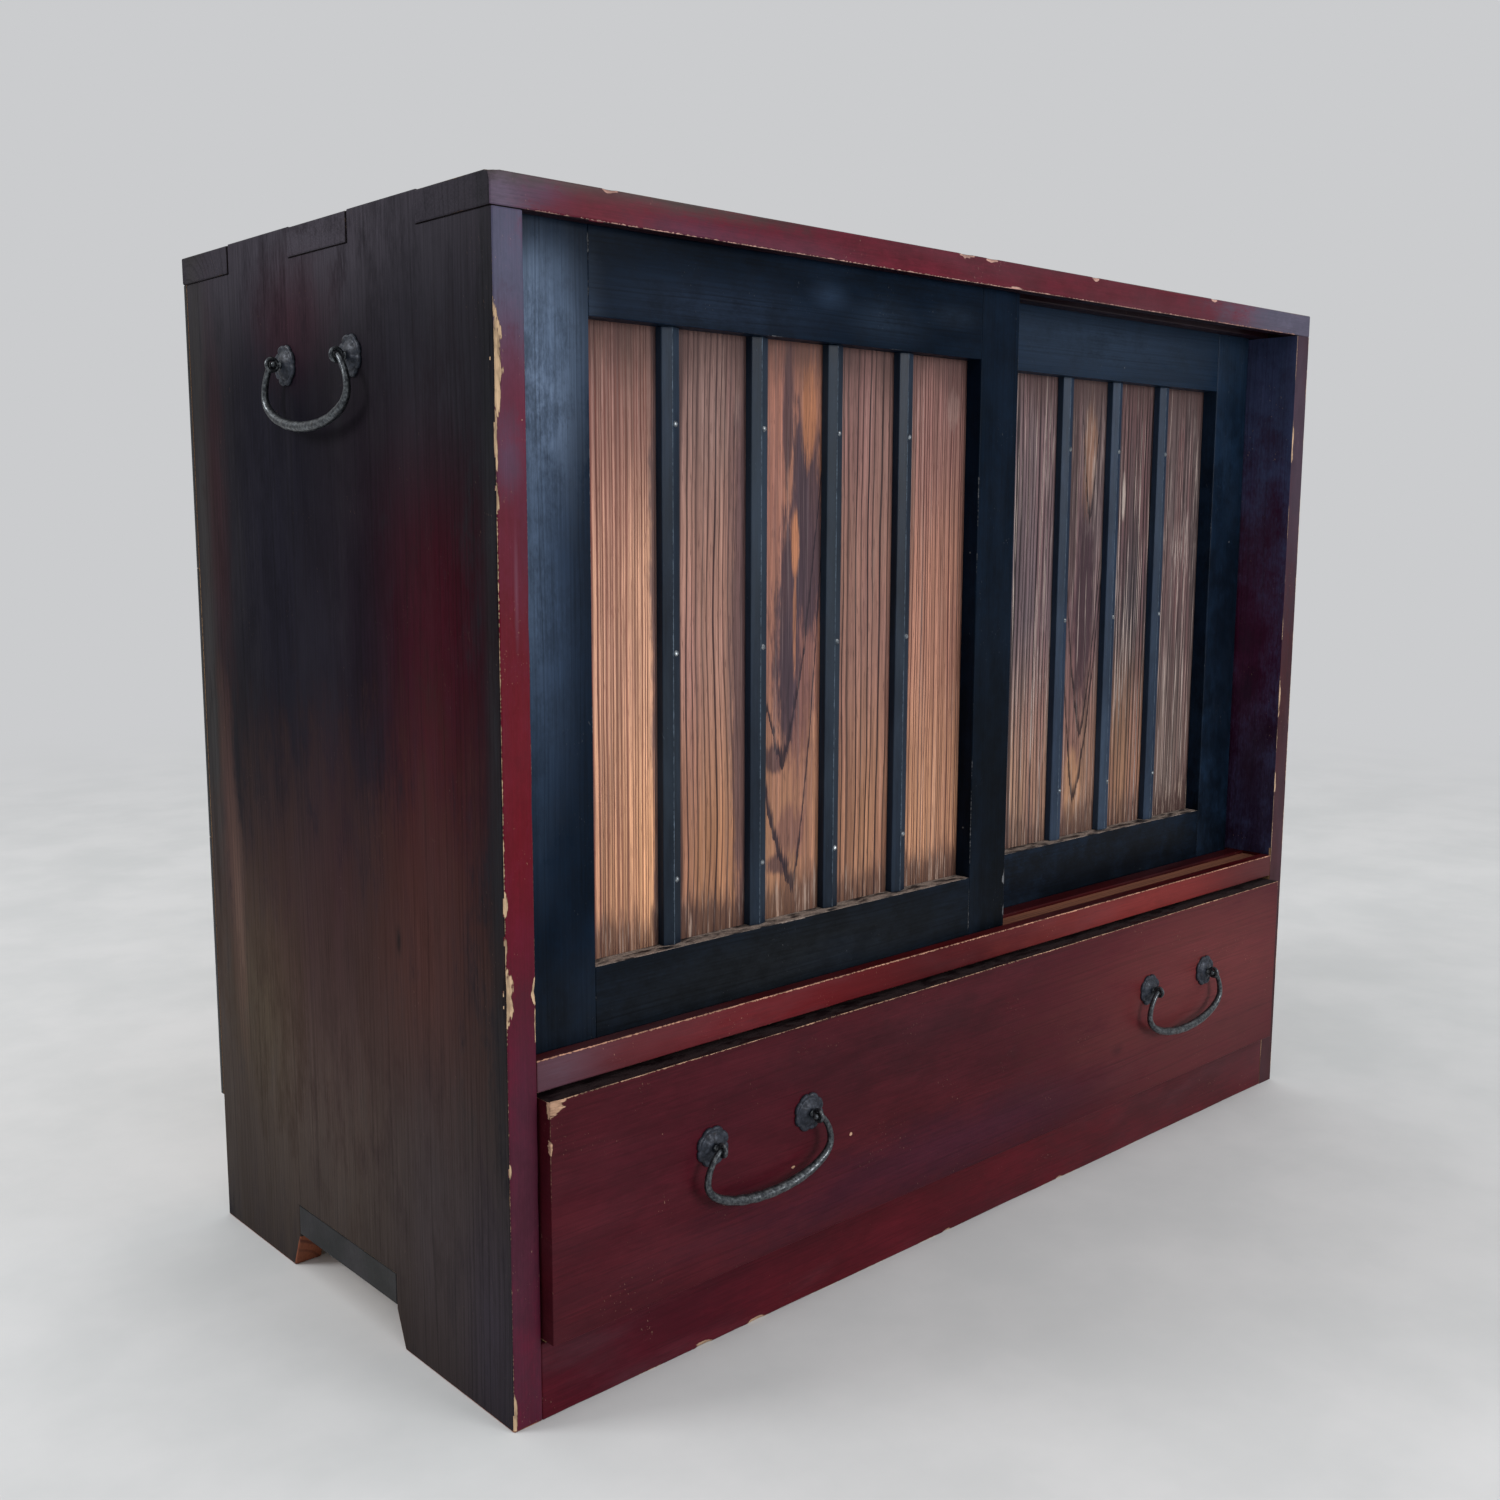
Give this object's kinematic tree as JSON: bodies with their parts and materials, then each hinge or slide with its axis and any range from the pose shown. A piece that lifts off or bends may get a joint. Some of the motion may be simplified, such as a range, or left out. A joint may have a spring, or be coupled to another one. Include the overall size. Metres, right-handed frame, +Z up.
{
  "type": "clothing chest",
  "caption": "Low lacquered clothing chest with two sliding doors above a full-width drawer and wrought bail handles.",
  "frame": {"origin": "on the floor, under the middle of the carcass", "axes": "+Z up, the doors and drawer face -Y, +X to the right as seen from the front"},
  "size_m": [1.0166, 0.4757, 0.81],
  "materials": {
    "red_lacquer": "worn satin lacquer",
    "dark_lacquer": "worn satin lacquer",
    "black_lacquer": "worn satin lacquer",
    "bare_board": "weathered bare softwood",
    "raw_softwood": "planed, unfinished",
    "wrought_iron": "dark, hammered",
    "nail_iron": "dull"
  },
  "bodies": {
    "carcass": {"back_board_1": "raw_softwood", "back_board_2": "raw_softwood", "back_board_3": "raw_softwood", "back_nails": "nail_iron", "base_board": "raw_softwood", "bay_floor": "raw_softwood", "kick_board": "red_lacquer", "left_handle_plates": "wrought_iron", "left_handle_posts": "wrought_iron", "left_side": "dark_lacquer", "rear_rail": "raw_softwood", "right_handle_plates": "wrought_iron", "right_handle_posts": "wrought_iron", "right_side": "dark_lacquer", "sill_rail": "red_lacquer", "top_board": "dark_lacquer"},
    "drawer": {"drawer_back": "raw_softwood", "drawer_bottom": "raw_softwood", "drawer_front": "red_lacquer", "drawer_left_pull_plates": "wrought_iron", "drawer_left_pull_posts": "wrought_iron", "drawer_left_wall": "raw_softwood", "drawer_right_pull_plates": "wrought_iron", "drawer_right_pull_posts": "wrought_iron", "drawer_right_wall": "raw_softwood"},
    "drawer_left_bail": {"drawer_left_pull_bail": "wrought_iron"},
    "drawer_right_bail": {"drawer_right_pull_bail": "wrought_iron"},
    "front_door": {"front_door_batten_1": "black_lacquer", "front_door_batten_2": "black_lacquer", "front_door_batten_3": "black_lacquer", "front_door_batten_4": "black_lacquer", "front_door_board_1": "bare_board", "front_door_board_2": "bare_board", "front_door_board_3": "bare_board", "front_door_board_4": "bare_board", "front_door_board_5": "bare_board", "front_door_bottom_rail": "black_lacquer", "front_door_left_stile": "black_lacquer", "front_door_nails": "nail_iron", "front_door_right_stile": "black_lacquer", "front_door_top_rail": "black_lacquer"},
    "left_carry_bail": {"left_handle_bail": "wrought_iron"},
    "rear_door": {"rear_door_batten_1": "black_lacquer", "rear_door_batten_2": "black_lacquer", "rear_door_batten_3": "black_lacquer", "rear_door_batten_4": "black_lacquer", "rear_door_board_1": "bare_board", "rear_door_board_2": "bare_board", "rear_door_board_3": "bare_board", "rear_door_board_4": "bare_board", "rear_door_board_5": "bare_board", "rear_door_bottom_rail": "black_lacquer", "rear_door_left_stile": "black_lacquer", "rear_door_nails": "nail_iron", "rear_door_right_stile": "black_lacquer", "rear_door_top_rail": "black_lacquer"},
    "right_carry_bail": {"right_handle_bail": "wrought_iron"}
  },
  "joints": [
    {"name": "front_door_slide", "type": "slide", "parent": "carcass", "child": "front_door", "axis": [1, 0, 0], "range_m": [0, 0.433]},
    {"name": "rear_door_slide", "type": "slide", "parent": "carcass", "child": "rear_door", "axis": [-1, 0, 0], "range_m": [-0.004, 0.429]},
    {"name": "drawer_slide", "type": "slide", "parent": "carcass", "child": "drawer", "axis": [0, -1, 0], "range_m": [-0.011, 0.29]},
    {"name": "left_carry_swing", "type": "hinge", "parent": "carcass", "child": "left_carry_bail", "pos_m": [-0.5025, 0, 0.713], "axis": [0, 1, 0], "range_deg": [-6, 180]},
    {"name": "right_carry_swing", "type": "hinge", "parent": "carcass", "child": "right_carry_bail", "pos_m": [0.5025, 0, 0.713], "axis": [0, -1, 0], "range_deg": [-6, 180]},
    {"name": "drawer_left_swing", "type": "hinge", "parent": "drawer", "child": "drawer_left_bail", "pos_m": [-0.278, -0.2455, 0.158], "axis": [-1, 0, 0], "range_deg": [-6, 180]},
    {"name": "drawer_right_swing", "type": "hinge", "parent": "drawer", "child": "drawer_right_bail", "pos_m": [0.278, -0.2455, 0.158], "axis": [-1, 0, 0], "range_deg": [-6, 180]}
  ]
}
